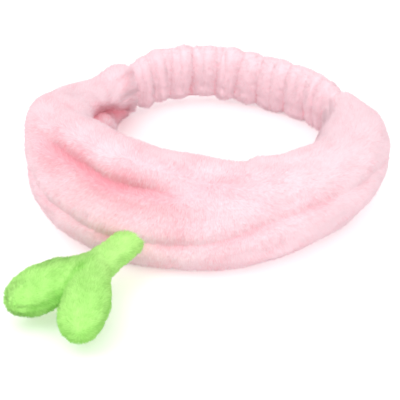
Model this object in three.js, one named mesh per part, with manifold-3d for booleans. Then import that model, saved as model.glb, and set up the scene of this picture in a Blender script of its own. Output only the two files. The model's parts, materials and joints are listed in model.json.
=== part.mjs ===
// A plush spa headband, lying as it rests on a table: a soft tube of fleece round the front of the
// head, a gathered fleece casing with a flat elastic in it round the back, and a stuffed two-leaf
// sprout whose stem is caught in the tube's long seam. Millimetres, +Z up. The ring lies flat, -Y is
// the middle of the fleece front, +Y the middle of the elastic back. The origin is the middle of the
// bounding box, on the surface that the headband lies on.
import * as THREE from "three";
import { mergeVertices } from "three/addons/utils/BufferGeometryUtils.js";
import Module from "manifold-3d";

const wasm = await Module();
wasm.setup();

// ---- Driving dimensions ------------------------------------------------------------------------

// The oval that runs through the middle of the tube and the casing.
const ringHalfWidth = 83;
const ringFrontDepth = 86.5;
const ringBackDepth = 87;
const ringSquareness = 2.2; // exponent of the oval's superellipse: 2 is an ellipse

// Fleece front tube: its section at the middle of the front, and its cloth with the pile on it.
const tubeHeight = 66;
const tubeThickness = 43;
const tubeCloth = 4;
const tubeRoundness = 2.4; // exponent of the section's superellipse: 2 is an ellipse
const footCut = 2; // how much of the section's round underside rests flat
const mouthTaper = 145; // length over which the tube comes down to its mouths
const mouthThinning = 65; // length over which it thins to them
const rightSlimming = 0.24; // it fills out less to the right of its front, by this share,
const slimmestAt = 318; // most of all at this place on the ring, in degrees,
const slimSpread = 28; // and less to either side

// The tube's one long seam, on the outside: each height is an angle above the section's middle.
const seamAtLeftSide = 4;
const seamAtSprout = -14;
const seamAtRightSide = 13;
const seamClimb = 62; // the stretch of ring, in degrees, over which it climbs to the right
const seamAllowanceDepth = 6; // the two raw edges turned into the tube
const seamAllowanceThickness = 4;
const seamGroove = 1.2;

// Gathered casing and the elastic in it.
const casingHeight = 35;
const casingThickness = 18;
const casingCloth = 3;
const casingArc = 104; // the part of the ring, in degrees, that shows between the tube's mouths
const casingEndHeight = 25; // gathered together where it goes into a mouth
const casingEndThickness = 14;
const casingInMouth = 8; // length of each end that is sewn into a mouth
const casingFlare = 14; // length over which it spreads again outside
const gatherCount = 11;
const gatherDepth = 1.3;
const elasticRoom = 1.5; // over and under the elastic, in the gathered ends of the casing
const elasticThickness = 1.5;
const elasticHeight = casingEndHeight - 2 * (casingCloth + elasticRoom);

// Sewing thread, drawn thick enough to be a solid, and the gaps that pieces keep.
const threadRadius = 0.4;
const gap = 0.3;
const threadRoom = 2 * threadRadius + 2 * gap; // between a mouth and the casing in it

// Two-leaf sprout, which its stem holds out over the table.
const sproutPlace = 263; // where on the ring its stem is sewn in, in degrees from +X
const sproutHeading = 250; // the way it points
const sproutStandOff = 8; // from the tube to the point where the stem bends
const stemLength = 27; // from the tube to the fork
const stemHalfWidth = 8;
const stemFlare = 0.15; // how much wider it is where the leaves bend
const leafLength = 51; // from the fork to the tip
const leafHalfWidth = 12.7;
const leafHalfThickness = 11.6;
const leafSpread = 27; // each leaf's turn from the stem, in degrees
const leafSwell = 0.6; // where along its length a leaf is widest
const leafBend = 16; // from the fork to the line across it where the leaves bend
const sproutCloth = 3;
const neckRadius = 5.2;
const tailWidth = 11;
const tailThickness = 2.4;
const tailPastSeam = 6; // how far the stem's raw end reaches in past the seam's edges
const aboveTable = 9.5; // the leaves' height over the surface: the stem holds them out

const deg = Math.PI / 180;

// ---- Building blocks ---------------------------------------------------------------------------

/** A closed solid through a row of rings of points: capped at both ends, or joined end to start. */
function loft(rings, joined = false) {
  const around = rings[0].length;
  const points = rings.flat();
  const faces = [];
  const last = joined ? rings.length : rings.length - 1;
  for (let i = 0; i < last; i++) {
    const next = (i + 1) % rings.length;
    for (let k = 0; k < around; k++) {
      const j = (k + 1) % around;
      const [a, b, c, d] = [i * around + k, i * around + j, next * around + j, next * around + k];
      faces.push(a, b, c, a, c, d);
    }
  }
  if (!joined) {
    for (const [ring, flip] of [[0, false], [rings.length - 1, true]]) {
      const middle = rings[ring].reduce((sum, p) => sum.add(p), new THREE.Vector3());
      points.push(middle.divideScalar(around));
      for (let k = 0; k < around; k++) {
        const [a, b] = [ring * around + k, ring * around + ((k + 1) % around)];
        faces.push(points.length - 1, ...(flip ? [a, b] : [b, a]));
      }
    }
  }
  const geometry = new THREE.BufferGeometry().setFromPoints(points);
  geometry.setIndex(faces);
  return facingOut(geometry);
}

/** Turns a closed geometry's faces round if they enclose a negative volume. */
function facingOut(geometry) {
  const [place, index] = [geometry.getAttribute("position"), geometry.index];
  const [a, b, c] = [new THREE.Vector3(), new THREE.Vector3(), new THREE.Vector3()];
  let volume = 0;
  for (let i = 0; i < index.count; i += 3) {
    a.fromBufferAttribute(place, index.getX(i));
    b.fromBufferAttribute(place, index.getX(i + 1));
    c.fromBufferAttribute(place, index.getX(i + 2));
    volume += a.dot(b.cross(c));
  }
  if (volume < 0) geometry.setIndex([...index.array].reverse());
  return geometry;
}

/** A three.js geometry as a manifold-3d solid. */
function solid(geometry) {
  const bare = geometry.clone();
  bare.deleteAttribute("normal");
  bare.deleteAttribute("uv");
  const merged = mergeVertices(bare, 1e-4);
  return new wasm.Manifold(
    new wasm.Mesh({
      numProp: 3,
      vertProperties: new Float32Array(merged.getAttribute("position").array),
      triVerts: new Uint32Array(merged.index.array),
    }),
  );
}

/** A manifold-3d solid as a three.js geometry. */
function geometryOf(made) {
  const { numProp, vertProperties, triVerts } = made.getMesh();
  const place = new Float32Array((vertProperties.length / numProp) * 3);
  for (let i = 0; i < place.length / 3; i++) {
    place.set(vertProperties.subarray(i * numProp, i * numProp + 3), i * 3);
  }
  const geometry = new THREE.BufferGeometry();
  geometry.setAttribute("position", new THREE.BufferAttribute(place, 3));
  geometry.setIndex([...triVerts]);
  return geometry;
}

/** A box solid between two corners. */
function block(low, high) {
  const size = new THREE.Vector3().subVectors(high, low);
  const box = new THREE.BoxGeometry(size.x, size.y, size.z);
  return solid(box.translate(low.x + size.x / 2, low.y + size.y / 2, low.z + size.z / 2));
}

/** A round strand of thread along a curve: capped, or joined end to start. */
function strand(curve, steps, joined = false) {
  if (!joined) {
    const section = new THREE.Shape().absarc(0, 0, threadRadius, 0, 2 * Math.PI);
    return new THREE.ExtrudeGeometry(section, { steps, extrudePath: curve, curveSegments: 3 });
  }
  const frames = curve.computeFrenetFrames(steps, true);
  const rings = [];
  for (let i = 0; i < steps; i++) {
    const middle = curve.getPointAt(i / steps);
    const ring = [];
    for (let k = 0; k < 6; k++) {
      const turn = (k / 6) * 2 * Math.PI;
      const away = frames.normals[i].clone().multiplyScalar(threadRadius * Math.cos(turn));
      away.addScaledVector(frames.binormals[i], threadRadius * Math.sin(turn));
      ring.push(away.add(middle));
    }
    rings.push(ring);
  }
  return loft(rings, true);
}

const mix = (a, b, share) => a + (b - a) * share;
const ease = (share) => {
  const x = THREE.MathUtils.clamp(share, 0, 1);
  return x * x * (3 - 2 * x);
};

// ---- The ring and its sections -----------------------------------------------------------------

/** A value's magnitude raised to a power, with its sign kept. */
const signedPower = (value, power) => Math.sign(value) * Math.abs(value) ** power;

const depthAt = (angle) => (Math.sin(angle * deg) < 0 ? ringFrontDepth : ringBackDepth);
function ringPoint(angle) {
  const power = 2 / ringSquareness;
  const x = ringHalfWidth * signedPower(Math.cos(angle * deg), power);
  return new THREE.Vector3(x, depthAt(angle) * signedPower(Math.sin(angle * deg), power), 0);
}
function ringOutward(angle) {
  const power = 2 - 2 / ringSquareness;
  const x = signedPower(Math.cos(angle * deg), power) / ringHalfWidth;
  const y = signedPower(Math.sin(angle * deg), power) / depthAt(angle);
  return new THREE.Vector3(x, y, 0).normalize();
}

const meanRadius = (ringHalfWidth + ringBackDepth) / 2;
const degreesOf = (length) => length / meanRadius / deg;
const lengthOf = (degrees) => degrees * meanRadius * deg;
const leftMouth = 90 + casingArc / 2;
const rightMouth = 360 + 90 - casingArc / 2;

/** A point of a rounded section that stands across the ring: turn runs from outward (0) to up (90). */
function sectionPoint(angle, turn, halfThickness, halfHeight, middleHeight, roundness = 2) {
  const power = 2 / roundness;
  return ringPoint(angle)
    .addScaledVector(ringOutward(angle), halfThickness * signedPower(Math.cos(turn * deg), power))
    .setZ(middleHeight + halfHeight * signedPower(Math.sin(turn * deg), power));
}

// The casing lies on the table at the back and is lifted by the tube's cloth at its two ends.
const mouthWall = tubeCloth + threadRoom;
function casingSize(angle) {
  const pastMouth = lengthOf(casingArc / 2 - Math.abs(angle - 90));
  const spread = ease(pastMouth / casingFlare);
  const turns = ((angle - 90) / casingArc + 0.5) * gatherCount;
  const swell = gatherDepth * (0.5 - 0.5 * Math.cos(turns * 2 * Math.PI)) * spread;
  const settled = ease(pastMouth / (2 * casingFlare));
  return {
    halfThickness: mix(casingEndThickness, casingThickness, spread) / 2 + swell,
    halfHeight: mix(casingEndHeight, casingHeight, spread) / 2 + swell / 2,
    middle: mix(casingEndHeight / 2 + mouthWall, casingHeight / 2, settled) + swell / 2,
  };
}

// The tube narrows from its full section to a mouth that fits over the casing.
function tubeSize(angle) {
  const fromMouth = lengthOf(Math.min(angle - leftMouth, rightMouth - angle));
  const full = ease(fromMouth / mouthTaper);
  const fat = ease(fromMouth / mouthThinning);
  const slim = rightSlimming * Math.exp(-(((angle - slimmestAt) / slimSpread) ** 2));
  const [thickest, highest] = [(1 - slim) * tubeThickness, (1 - slim / 2) * tubeHeight];
  return {
    halfThickness: mix(casingEndThickness / 2 + mouthWall, thickest / 2, fat),
    halfHeight: mix(casingEndHeight / 2 + mouthWall, highest / 2, full),
    foot: footCut * full,
    round: mix(2, tubeRoundness, full),
    full,
  };
}
const seamSpread = 14; // the panel's curve starts this many degrees beside the seam
const seamAngle = (angle) =>
  angle < sproutPlace
    ? mix(seamAtLeftSide, seamAtSprout, ease((angle - 180) / (sproutPlace - 180)))
    : mix(seamAtSprout, seamAtRightSide, ease((angle - sproutPlace) / seamClimb));

/** A point of the tube's outside (inset 0) or of a surface that far inside it. */
function tubePoint(angle, turn, inset = 0) {
  const size = tubeSize(angle);
  const [thick, high] = [size.halfThickness - inset, size.halfHeight - inset];
  const point = sectionPoint(angle, turn, thick, high, size.halfHeight - size.foot, size.round);
  return point.setZ(Math.max(point.z, Math.min(inset, tubeCloth)));
}

// ---- Front tube --------------------------------------------------------------------------------

/** A frame on the seam, on the surface at an inset: moves across the seam and in from the surface. */
function onSeam(angle, inset) {
  const seam = seamAngle(angle);
  const seat = tubePoint(angle, seam, inset);
  const beside = tubePoint(angle, seam + seamSpread, inset);
  const across = beside.sub(tubePoint(angle, seam - seamSpread, inset)).normalize();
  const inward = ringPoint(angle).setZ(tubeSize(angle).halfHeight).sub(seat).normalize();
  return (aside, depth) =>
    seat.clone().addScaledVector(across, aside).addScaledVector(inward, depth);
}

/** The fleece tube: one panel, folded lengthwise and sewn, with its raw edges turned in. */
function frontTube(slot) {
  const [steps, others] = [46, 15];
  const half = seamAllowanceThickness / 2;
  const ring = (angle, inset) => {
    const at = onSeam(angle, inset);
    const depth = tubeSize(angle).full * (inset ? seamAllowanceDepth : seamGroove);
    const points = [at(-half - gap, 0), at(-half, depth), at(half, depth), at(half + gap, 0)];
    for (let k = 0; k <= others; k++) {
      const turn = mix(seamSpread, 360 - seamSpread, k / others);
      points.push(tubePoint(angle, seamAngle(angle) + turn, inset));
    }
    return points;
  };
  const angles = Array.from({ length: steps + 1 }, (_, i) => mix(leftMouth, rightMouth, i / steps));
  const outside = angles.map((angle) => ring(angle, 0));
  const inside = angles.reverse().map((angle) => ring(angle, tubeCloth));
  return geometryOf(solid(loft([...outside, ...inside], true)).subtract(slot));
}

/** The thread of the long seam, beside the turned-in edges. */
function frontSeamThread(from, to) {
  const aside = seamAllowanceThickness / 2 + 2 * gap + threadRadius;
  const count = Math.round((to - from) / 6);
  const points = Array.from({ length: count + 1 }, (_, i) =>
    onSeam(mix(from, to, i / count), tubeCloth)(aside, seamAllowanceDepth / 2),
  );
  return strand(new THREE.CatmullRomCurve3(points), 2 * count);
}

/** The ring of stitches that closes a mouth of the tube onto the casing in it. */
function joinThread(angle) {
  const { halfThickness, halfHeight, middle } = casingSize(angle);
  const away = gap + threadRadius;
  const points = [];
  for (let turn = 0; turn < 360; turn += 20) {
    const [thick, high] = [halfThickness + away, halfHeight + away];
    points.push(sectionPoint(angle, turn, thick, high, middle));
  }
  return strand(new THREE.CatmullRomCurve3(points, true), 36, true);
}

// ---- Casing and elastic ------------------------------------------------------------------------

const casingFrom = 90 - casingArc / 2 - degreesOf(casingInMouth);
const casingTo = 90 + casingArc / 2 + degreesOf(casingInMouth);

/** The gathered fleece casing: a hollow tube, open at both ends. */
function casing() {
  const [steps, around] = [4 * gatherCount + 4, 16];
  const ring = (angle, inset) => {
    const { halfThickness, halfHeight, middle } = casingSize(angle);
    return Array.from({ length: around }, (_, k) => {
      const turn = (k / around) * 360;
      const [thick, high] = [halfThickness - inset, halfHeight - inset];
      return sectionPoint(angle, turn, thick, high, middle);
    });
  };
  const angles = Array.from({ length: steps + 1 }, (_, i) => mix(casingFrom, casingTo, i / steps));
  const outside = angles.map((angle) => ring(angle, 0));
  const inside = angles.reverse().map((angle) => ring(angle, casingCloth));
  return loft([...outside, ...inside], true);
}

/** The thread of the casing's own long seam, inside its lower edge. */
function casingSeamThread() {
  const points = [];
  const count = Math.round(lengthOf(casingTo - casingFrom) / 5);
  for (let i = 0; i <= count; i++) {
    const angle = mix(casingFrom + 1, casingTo - 1, i / count);
    const { middle, halfHeight } = casingSize(angle);
    const low = halfHeight - casingCloth - 3 * gap - threadRadius;
    points.push(ringPoint(angle).setZ(middle - low));
  }
  return strand(new THREE.CatmullRomCurve3(points), 2 * count);
}

/** The flat elastic, standing on edge in the casing. */
function elastic() {
  const steps = 30;
  const rings = [];
  for (let i = 0; i <= steps; i++) {
    const angle = mix(casingFrom, casingTo, i / steps);
    const { middle } = casingSize(angle);
    const [out, up] = [elasticThickness / 2, elasticHeight / 2];
    const corners = [[out, up], [-out, up], [-out, -up], [out, -up]];
    rings.push(
      corners.map(([x, z]) =>
        ringPoint(angle).addScaledVector(ringOutward(angle), x).setZ(middle + z + 2 * gap),
      ),
    );
  }
  return loft(rings);
}

/** A zigzag bar of stitches beside the elastic's end, which tacks it to the casing. */
function elasticTack(angle) {
  const { middle } = casingSize(angle);
  const points = [];
  const away = -(elasticThickness / 2 + gap + threadRadius);
  for (let i = 0; i <= 8; i++) {
    const along = angle + degreesOf(i % 2 ? 1.2 : -1.2);
    const height = middle + mix(-0.3, 0.3, i / 8) * elasticHeight;
    points.push(ringPoint(along).addScaledVector(ringOutward(along), away).setZ(height));
  }
  return strand(new THREE.CatmullRomCurve3(points), 32);
}

// ---- Sprout, modelled along +X from the point where its stem bends -----------------------------

const forkAt = stemLength - sproutStandOff;
const leafMiddle = leafHalfThickness + aboveTable;
const heading = new THREE.Vector3(Math.cos(sproutHeading * deg), Math.sin(sproutHeading * deg), 0);
const stemRoot = tubePoint(sproutPlace, seamAngle(sproutPlace));
const bendPoint = stemRoot.clone().addScaledVector(heading, sproutStandOff);
const stemDrop = bendPoint.z - leafMiddle; // the stem comes down this far to the leaves
const bendAt = forkAt + leafBend;
const bendAlong = leafBend / Math.cos(leafSpread * deg) / (leafSwell * leafLength);
const bendRadius = leafOutline(bendAlong, 0)[2] + gap;

/** A solid round an axis in the XY plane: places are [distance, half width, half thickness, height]. */
function lobe(places, around = 12) {
  return solid(
    loft(
      places.map(([x, wide, thick, height]) =>
        Array.from({ length: around }, (_, k) => {
          const turn = (k / around) * 2 * Math.PI;
          return new THREE.Vector3(x, wide * Math.cos(turn), height + thick * Math.sin(turn));
        }),
      ),
    ),
  );
}

const stemHalf = (x) => stemHalfWidth * (1 + stemFlare * ease(x / bendAt));
const stemHeight = (x) => -stemDrop * ease(x / forkAt);

/** The stem from its base to just past the fork. */
function stemLobe(base, inset, insetWidth) {
  const places = [];
  for (let i = 0; i <= 6; i++) {
    const x = mix(base, forkAt + leafBend / 2 - inset, i / 6);
    const thick = Math.min(stemHalf(x), leafMiddle - gap);
    places.push([x, stemHalf(x) - insetWidth, thick - inset, stemHeight(x)]);
  }
  return lobe(places);
}

/** A leaf's distance, half width and half thickness: along is 0 at the fork, 1 at the widest, 2 at the tip. */
function leafOutline(along, inset, insetWidth = inset) {
  const widest = leafSwell * leafLength;
  if (along <= 1) {
    const [wide, thick] = [leafHalfWidth, leafHalfThickness].map((half) =>
      mix(stemHalfWidth, half, ease(along)),
    );
    return [along * widest, wide - insetWidth, thick - inset];
  }
  const [c, s] = [Math.cos((along - 1) * 90 * deg), Math.sin((along - 1) * 90 * deg)];
  const rounded = [(leafHalfWidth - insetWidth) * c, (leafHalfThickness - inset) * c];
  return [widest + (leafLength - widest - insetWidth) * s, ...rounded];
}

/** One leaf from the fork to its tip, turned by side (1 or -1) times the spread. */
function leafLobe(side, inset, insetWidth) {
  const places = [];
  const [rings, blunt] = [11, 0.3];
  for (let i = 0; i <= rings; i++) {
    const [distance, ...halves] = leafOutline((2 * i) / rings, inset, insetWidth);
    places.push([distance, ...halves.map((half) => Math.max(half, blunt)), -stemDrop]);
  }
  return onLeaf(lobe(places), side);
}

/** Moves a solid made along +X from the fork onto a leaf's own axis. */
function onLeaf(made, side) {
  return made.rotate([0, 0, side * leafSpread]).translate([forkAt, 0, 0]);
}

/** All that lies beyond the line where the leaves bend, with a round root that turns in its socket. */
function beyondBend(clearance) {
  const far = 3 * leafLength;
  const root = new THREE.CylinderGeometry(bendRadius, bendRadius, 2 * far, 24);
  const grown = root.scale(1 + clearance / bendRadius, 1, 1 + clearance / bendRadius);
  const rest = block(new THREE.Vector3(0, -far, -far), new THREE.Vector3(far, far, far));
  return solid(grown).add(rest).translate([bendAt, 0, -stemDrop]);
}

/** The half of the sprout's space that one leaf keeps to. */
function sideOf(side) {
  const far = 3 * leafLength;
  const [low, high] = side > 0 ? [gap, far] : [-far, -gap];
  return block(new THREE.Vector3(-far, low, -far), new THREE.Vector3(far, high, far));
}

/** The sprout's stem and leaves in one, at one inset from the outside. */
function wholeSprout(base, inset, insetWidth = inset) {
  const leaves = leafLobe(-1, inset, insetWidth).add(leafLobe(1, inset, insetWidth));
  return stemLobe(base, inset, insetWidth).add(leaves);
}

/** The stem and the two leaves of such a solid, cut apart where the leaves bend. */
function sproutParts(whole) {
  const leaves = whole.intersect(beyondBend(0));
  return {
    stem: whole.subtract(beyondBend(2 * gap)),
    left: leaves.intersect(sideOf(-1)),
    right: leaves.intersect(sideOf(1)),
  };
}

/** The half of a solid above or below the sprout's edge seam. */
function halfOf(made, above) {
  const far = 3 * leafLength;
  const middle = new THREE.Vector3(0, 0, 0);
  const places = [-far, 0, forkAt * 0.5, forkAt, far];
  const rings = places.map((x) => {
    const edge = stemHeight(x);
    const [low, high] = above ? [edge + gap / 2, far] : [-far, edge - gap / 2];
    return [[-far, low], [far, low], [far, high], [-far, high]].map(([y, z]) =>
      middle.clone().set(x, y, z),
    );
  });
  return made.intersect(solid(loft(rings)));
}

/** The thread round a leaf's edge, inside the seam, from its bend to the tip and back. */
function leafThread(side) {
  const points = [];
  const [first, turns] = [(leafBend * 1.6) / (leafSwell * leafLength), 8];
  for (let i = -turns; i <= turns; i++) {
    const along = mix(2, first, Math.abs(i) / turns);
    const [distance, wide] = leafOutline(along, sproutCloth + gap + threadRadius + gap / 2);
    points.push(new THREE.Vector3(distance, Math.sign(i) * wide, -stemDrop));
  }
  const thread = strand(new THREE.CatmullRomCurve3(points), 32);
  return thread.rotateZ(side * leafSpread * deg).translate(forkAt, 0, 0);
}

/** The thread up one side of the stem, inside its seam. */
function stemThread(side, base) {
  const points = [0.1, 0.4, 0.7, 1].map((share) => {
    const x = mix(base, forkAt - stemHalfWidth, share);
    const half = stemHalf(x) - sproutCloth - gap - threadRadius;
    return new THREE.Vector3(x, side * half, stemHeight(x));
  });
  return strand(new THREE.CatmullRomCurve3(points), 10);
}

const tailEnd = sproutStandOff + tubeCloth + seamAllowanceDepth + tailPastSeam;

/** A stitch round the stem's raw end, inside the tube. */
function tailThread() {
  const away = 2 * gap + threadRadius;
  const cornered = 0.35; // exponent that squares the loop up round the flat tail
  const points = [];
  for (let turn = 0; turn < 360; turn += 20) {
    const y = (tailWidth / 2 + away) * signedPower(Math.cos(turn * deg), cornered);
    const z = (tailThickness / 2 + away) * signedPower(Math.sin(turn * deg), cornered);
    points.push(new THREE.Vector3(tailPastSeam / 2 - tailEnd, y, z));
  }
  return strand(new THREE.CatmullRomCurve3(points, true), 30, true);
}

// ---- Assembly ----------------------------------------------------------------------------------

const fleece = { roughness: 0.95, metalness: 0 };
const pinkFleece = new THREE.MeshStandardMaterial({ ...fleece, color: 0xf9cdd9 });
const greenFleece = new THREE.MeshStandardMaterial({ ...fleece, color: 0xa8e878 });
const pinkThread = new THREE.MeshStandardMaterial({ ...fleece, color: 0xf2a9bb, roughness: 0.7 });
const greenThread = new THREE.MeshStandardMaterial({ ...fleece, color: 0x7fcf58, roughness: 0.7 });
const whiteElastic = new THREE.MeshStandardMaterial({ ...fleece, color: 0xf4f2ee, roughness: 0.8 });
const stuffing = new THREE.MeshStandardMaterial({ ...fleece, color: 0xfafafa });

const headband = new THREE.Group();
const sprout = new THREE.Group();
sprout.position.copy(bendPoint);
sprout.rotation.z = sproutHeading * deg;

function piece(name, geometry, material, parent = headband) {
  const mesh = new THREE.Mesh(geometry, material);
  mesh.name = name;
  parent.add(mesh);
}

const tailStart = neckRadius + gap;
const tailBox = (clearance) =>
  new THREE.BoxGeometry(
    tailEnd - tailStart,
    tailWidth + 2 * clearance,
    tailThickness + 2 * clearance,
  ).translate(-(tailEnd + tailStart) / 2, 0, 0);
const slot = solid(tailBox(gap))
  .rotate([0, 0, sproutHeading])
  .translate(bendPoint.toArray());

piece("front_tube", frontTube(slot), pinkFleece);
piece("front_seam_thread_left", frontSeamThread(leftMouth + 14, sproutPlace - 7), pinkThread);
piece("front_seam_thread_right", frontSeamThread(sproutPlace + 7, rightMouth - 14), pinkThread);
const joinDepth = degreesOf(casingInMouth / 2);
piece("left_join_thread", joinThread(leftMouth + joinDepth), pinkThread);
piece("right_join_thread", joinThread(rightMouth - 360 - joinDepth), pinkThread);

piece("back_casing", casing(), pinkFleece);
piece("casing_seam_thread", casingSeamThread(), pinkThread);
piece("back_elastic", elastic(), whiteElastic);
piece("left_elastic_tack", elasticTack(casingTo - degreesOf(4)), pinkThread);
piece("right_elastic_tack", elasticTack(casingFrom + degreesOf(4)), pinkThread);

piece("sprout_tail", tailBox(0), greenFleece, sprout);
piece("tail_anchor_thread", tailThread(), greenThread, sprout);
piece("stem_neck", new THREE.SphereGeometry(neckRadius, 14, 10), greenFleece, sprout);

const stemBase = neckRadius + gap + 0.6;
const hollow = wholeSprout(stemBase - 1, sproutCloth);
const cloth = sproutParts(wholeSprout(stemBase, 0).subtract(hollow));
const fillingBase = stemBase + sproutCloth;
const filling = sproutParts(
  wholeSprout(fillingBase, sproutCloth + gap, sproutCloth + threadRoom + 2 * gap),
);
for (const [part, name] of [["stem", "stem"], ["left", "left_leaf"], ["right", "right_leaf"]]) {
  piece(`${name}_upper_panel`, geometryOf(halfOf(cloth[part], true)), greenFleece, sprout);
  piece(`${name}_lower_panel`, geometryOf(halfOf(cloth[part], false)), greenFleece, sprout);
  piece(`${name}_stuffing`, geometryOf(filling[part]), stuffing, sprout);
}
piece("stem_left_seam_thread", stemThread(-1, stemBase), greenThread, sprout);
piece("stem_right_seam_thread", stemThread(1, stemBase), greenThread, sprout);
piece("left_leaf_seam_thread", leafThread(-1), greenThread, sprout);
piece("right_leaf_seam_thread", leafThread(1), greenThread, sprout);

// The origin goes to the middle of the whole, on the table.
headband.add(sprout);
const extent = new THREE.Box3().setFromObject(headband);
const middle = extent.getCenter(new THREE.Vector3());
headband.position.set(-middle.x, -middle.y, -extent.min.z);
headband.updateMatrixWorld(true);

export default headband;
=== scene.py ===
"""Looks of a plush spa headband with a two-leaf sprout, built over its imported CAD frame."""

import json
import math

import bpy
import numpy as np
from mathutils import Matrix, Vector


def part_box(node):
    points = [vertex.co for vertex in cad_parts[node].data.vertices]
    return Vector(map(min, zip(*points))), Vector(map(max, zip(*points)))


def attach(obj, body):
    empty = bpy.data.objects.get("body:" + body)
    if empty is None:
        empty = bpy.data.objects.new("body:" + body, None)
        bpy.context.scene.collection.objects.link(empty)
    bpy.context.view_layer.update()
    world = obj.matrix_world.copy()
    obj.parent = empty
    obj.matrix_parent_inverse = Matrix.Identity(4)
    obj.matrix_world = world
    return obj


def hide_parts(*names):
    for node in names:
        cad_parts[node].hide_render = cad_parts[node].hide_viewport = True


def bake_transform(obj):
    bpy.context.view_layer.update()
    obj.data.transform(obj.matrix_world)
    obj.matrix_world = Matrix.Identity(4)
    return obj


bl_info = {
    "name": "Plush headband",
    "version": (1, 0, 0),
    "blender": (4, 5, 0),
    "location": "3D View > Sidebar > Headband",
    "description": "Builds the plush skins, pile and finishes of a spa headband with a sprout",
    "category": "Object",
}

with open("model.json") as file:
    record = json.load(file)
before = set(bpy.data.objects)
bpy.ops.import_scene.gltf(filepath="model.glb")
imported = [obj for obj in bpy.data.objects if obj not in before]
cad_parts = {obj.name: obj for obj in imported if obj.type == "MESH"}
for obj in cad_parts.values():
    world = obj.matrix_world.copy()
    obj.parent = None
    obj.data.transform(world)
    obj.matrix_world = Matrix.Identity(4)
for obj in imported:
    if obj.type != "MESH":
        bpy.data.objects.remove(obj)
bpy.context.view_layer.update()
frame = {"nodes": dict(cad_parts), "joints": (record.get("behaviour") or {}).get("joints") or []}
NODES = frame["nodes"]
JOINTS = {joint["name"]: joint for joint in frame["joints"]}

MM = 0.001
RING_SQUARENESS = 2.2
SLIMMEST_AT, SLIM_SPREAD = 318, 28
TUBE_SQUARENESS = 2.4
CASING_ARC = (38.0, 142.0)
TUBE_ARC = (142.0, 398.0)
SPROUT_TURN = math.radians(250)
LEAF_TURN = math.radians(27)
LEAF_SWELL = 0.6
LEAF_HANG = 5.5 * MM
FRONT, BACK = "front_band", "elastic_back"


# ---- Sizes and colours -----------------------------------------------------------------------


def length(name, default, description):
    """A length that the sidebar shows in the scene's own unit."""
    return bpy.props.FloatProperty(
        name=name, description=description, default=default, min=0, unit="LENGTH", precision=5
    )


def colour(name, default, description):
    """A colour with no alpha."""
    return bpy.props.FloatVectorProperty(
        name=name, description=description, default=default, subtype="COLOR", size=3, min=0, max=1
    )


class HeadbandSizes(bpy.types.PropertyGroup):
    """Sizes of the soft skins over the frame."""

    ring_half_width: length("Ring half width", 0.083, "Half the ring's width through its middle")
    ring_front: length("Ring front depth", 0.0865, "From the ring's centre to its front")
    ring_back: length("Ring back depth", 0.087, "From the ring's centre to its back")
    tube_height: length("Tube height", 0.066, "Height of the front tube's full section")
    tube_thickness: length("Tube thickness", 0.043, "Thickness of its full section")
    mouth_height: length("Mouth height", 0.0358, "Height of the tube where it meets the casing")
    mouth_thickness: length("Mouth thickness", 0.0248, "Thickness of the tube there")
    foot: length("Foot", 0.002, "How far the tube's underside is pressed flat")
    mouth_taper: length("Mouth taper", 0.145, "Length over which the height comes down")
    mouth_thinning: length("Mouth thinning", 0.065, "Length over which the thickness comes down")
    slimming: bpy.props.FloatProperty(
        name="Right slimming",
        description="How much less the tube fills out to the right of its front",
        default=0.24,
        min=0,
        max=0.5,
        subtype="FACTOR",
    )
    casing_height: length("Casing height", 0.035, "Height of the gathered back casing")
    casing_thickness: length("Casing thickness", 0.018, "Thickness of the gathered back casing")
    casing_end: length("Casing end height", 0.025, "Its height where it goes into a mouth")
    casing_end_thickness: length("Casing end thickness", 0.014, "Its thickness there")
    pile: length("Pile length", 0.0026, "Length of the fleece's fibres")
    leaf_length: length("Leaf length", 0.051, "From the fork to a leaf's tip")
    leaf_half_width: length("Leaf half width", 0.0127, "Half a leaf's width at its widest")
    leaf_half_thickness: length("Leaf half thickness", 0.0116, "Half its thickness there")
    stem_half_width: length("Stem half width", 0.008, "Half the stem's width")
    fork: length("Fork", 0.019, "From the point where the stem bends to the fork")


class HeadbandColours(bpy.types.PropertyGroup):
    """Colours of the fleece, thread and elastic."""

    pink_pale: colour("Pink pile", (0.94, 0.69, 0.745), "Tips of the pink pile")
    # The deep pink is painted shade: the colour that creases and hollows are blended towards; the
    # pile's roots lean towards it too.
    pink_crease_shade: colour("Pink ground", (0.88, 0.34, 0.40), "Ground of the pink pile, in the creases")
    green_pale: colour("Green pile", (0.52, 0.92, 0.27), "Tips of the green pile")
    # The deep and pale greens are shaded and lit copies of the sprout's green, blended as painted
    # light and shade; the deep green is also the darker knit loops inside the stem.
    green_deep: colour("Green ground", (0.24, 0.62, 0.10), "Ground of the green pile")
    pink_thread: colour("Pink thread", (0.88, 0.42, 0.50), "Sewing thread of the band")
    green_thread: colour("Green thread", (0.22, 0.60, 0.12), "Sewing thread of the sprout")
    elastic: colour("Elastic", (0.90, 0.88, 0.84), "Woven elastic in the casing")
    fibre: colour("Filling", (0.93, 0.93, 0.92), "Polyester filling of the sprout")
    floor: colour("Floor", (0.97, 0.97, 0.97), "The surface that it lies on")


# ---- Numbers ---------------------------------------------------------------------------------


def mix(a, b, share):
    return a + (b - a) * share


def ease(share):
    x = np.clip(share, 0, 1)
    return x * x * (3 - 2 * x)


def hump(distance, width):
    """1 at the middle of a soft bump, falling to nothing past its width."""
    return np.exp(-((distance / width) ** 2))


def signed_power(value, power):
    return np.sign(value) * np.abs(value) ** power


def turned(turn, towards):
    """The shortest way from one angle to another, in degrees."""
    return (turn - towards + 180) % 360 - 180


def unit(v):
    return v / np.maximum(np.linalg.norm(v, axis=-1, keepdims=True), 1e-12)


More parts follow.
